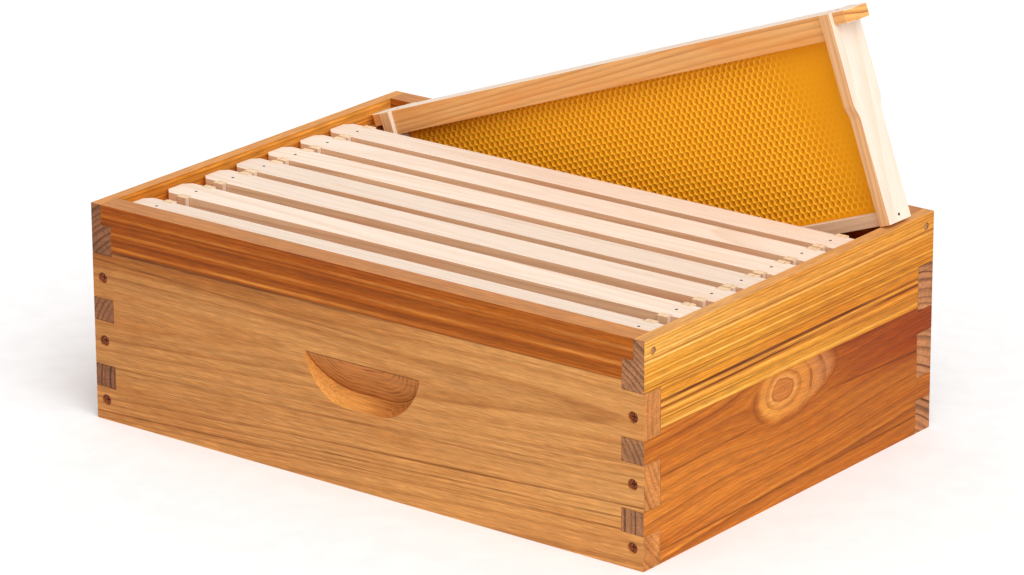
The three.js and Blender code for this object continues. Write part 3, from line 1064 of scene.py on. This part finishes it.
BRAD = {
    "head": 1.3 * MM,
    "proud": 0.12 * MM,
    "deep": 0.5 * MM,
    "sides": 20,
    "above_end": 5.0 * MM,
}


def brad_head(bm, place, out):
    """A small domed nail head at a place, facing out."""
    turn = out.to_track_quat("Z", "Y").to_matrix().to_4x4()
    profile = [(0.55, 0.8 * BRAD["proud"]), (0.9, 0.4 * BRAD["proud"]), (1.0, -BRAD["deep"])]
    rings = []
    for share, height in profile:
        ring = []
        for k in range(BRAD["sides"]):
            a = math.tau * k / BRAD["sides"]
            radius = share * BRAD["head"]
            at = Vector((math.cos(a) * radius, math.sin(a) * radius, height))
            ring.append(bm.verts.new(place + turn @ at))
        rings.append(ring)
    top = bm.verts.new(place + turn @ Vector((0, 0, BRAD["proud"])))
    for k in range(BRAD["sides"]):
        after = (k + 1) % BRAD["sides"]
        bm.faces.new((top, rings[0][k], rings[0][after]))
        for upper, lower in zip(rings, rings[1:]):
            bm.faces.new((upper[k], lower[k], lower[after], upper[after]))
    bm.faces.new(list(reversed(rings[-1])))


def local_box(node, back):
    """A CAD node's lowest and highest corner in a frame's own axes."""
    points = [back @ v.co for v in NODES[node].data.vertices]
    low = Vector([min(p[i] for p in points) for i in range(3)])
    high = Vector([max(p[i] for p in points) for i in range(3)])
    return low, high


def brads(number, home, metal):
    """The frame's nails: one down through the top bar into each end bar, and one through each end
    bar into the bottom bar."""
    back = home.inverted()
    body = f"frame_{number}"
    bm = bmesh.new()
    _, top = local_box(body + "_top_bar", back)
    for part, side in (("front_end_bar", 1), ("rear_end_bar", -1)):
        low, high = local_box(f"{body}_{part}", back)
        middle = (low.x + high.x) / 2
        outer = high.x if side > 0 else low.x
        spots = [
            (Vector((middle, 0, top.z)), Vector((0, 0, 1))),
            (Vector((outer, 0, low.z + BRAD["above_end"])), Vector((side, 0, 0))),
        ]
        for place, out in spots:
            brad_head(bm, place, out)
    bmesh.ops.recalc_face_normals(bm, faces=bm.faces)
    bmesh.ops.transform(bm, matrix=home, verts=bm.verts)
    mesh = to_mesh(body + "_brads", bm)
    write_point(mesh, "grain", points_of(mesh))
    add_object(body + "_brads", mesh, metal, body)


def add_frames():
    rng = random.Random(8)
    wood = pale_wood()
    metal = steel("brad_steel", tint(52, 40, 34), tint(26, 18, 14), metallic=0.3)
    sheet_wax = wax()
    low, high = local_box("frame_1_foundation", frame_axes(1).inverted())
    sheet = foundation_mesh(low, high)
    sheet.materials.append(sheet_wax)
    for number in FRAMES:
        home = frame_axes(number)
        body = f"frame_{number}"
        wooden_part(number, "top_bar", home, "x", wood, rng)
        wooden_part(number, "front_end_bar", home, "z", wood, rng)
        wooden_part(number, "rear_end_bar", home, "z", wood, rng)
        wooden_part(number, "bottom_bar", home, "x", wood, rng)
        brads(number, home, metal)
        node = f"{body}_foundation"
        obj = bpy.data.objects.new(node + "_wax", sheet)
        obj.matrix_world = home
        bpy.context.scene.collection.objects.link(obj)
        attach(obj, body)
        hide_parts(node)


# ---- Floor and light -----------------------------------------------------------------------------

FLOOR_HALF = 30
SKY_STRENGTH = 0.6
SUNS = {
    "key": {"turn": 60, "lift": 48, "strength": 2.15, "softness": 55},
    "fill": {"turn": -10, "lift": 30, "strength": 0.3, "softness": 60},
}


def add_floor():
    """A wide pale floor with a matt, slightly uneven surface."""
    bm = bmesh.new()
    bmesh.ops.create_grid(bm, x_segments=8, y_segments=8, size=FLOOR_HALF)
    mesh = bpy.data.meshes.new("floor")
    bm.to_mesh(mesh)
    bm.free()
    floor = bpy.data.objects.new("floor", mesh)
    s = Surface("pale_floor")
    coords = s.put("ShaderNodeTexCoord", {}).outputs["Object"]
    grit = s.noise(s.stretch(coords, (40, 40, 40)), 2)
    color = s.blend(s.span(grit, 0.3, 0.7), tint(246, 246, 246), tint(250, 250, 250))
    mesh.materials.append(s.finish(color, 0.9))
    bpy.context.scene.collection.objects.link(floor)


def add_sun(name, turn, lift, strength, softness):
    """Light from a compass direction, counted from -Y towards +X, and a height in degrees."""
    lamp = bpy.data.lights.new(name, "SUN")
    lamp.energy = strength
    lamp.angle = math.radians(softness)
    a, e = math.radians(turn), math.radians(lift)
    towards = Vector((math.sin(a) * math.cos(e), -math.cos(a) * math.cos(e), math.sin(e)))
    obj = bpy.data.objects.new(name, lamp)
    obj.rotation_euler = towards.to_track_quat("Z", "Y").to_euler()
    bpy.context.scene.collection.objects.link(obj)


def add_light():
    world = bpy.data.worlds.new("studio")
    world.use_nodes = True
    background = world.node_tree.nodes["Background"]
    background.inputs["Color"].default_value = (1, 1, 1, 1)
    background.inputs["Strength"].default_value = SKY_STRENGTH
    bpy.context.scene.world = world
    for name, sun in SUNS.items():
        add_sun(name, **sun)
    bpy.context.scene.view_settings.view_transform = "Standard"


# ---- Scene ---------------------------------------------------------------------------------------

add_camera()
add_floor()
add_light()
add_boards()
add_fasteners()
add_frames()
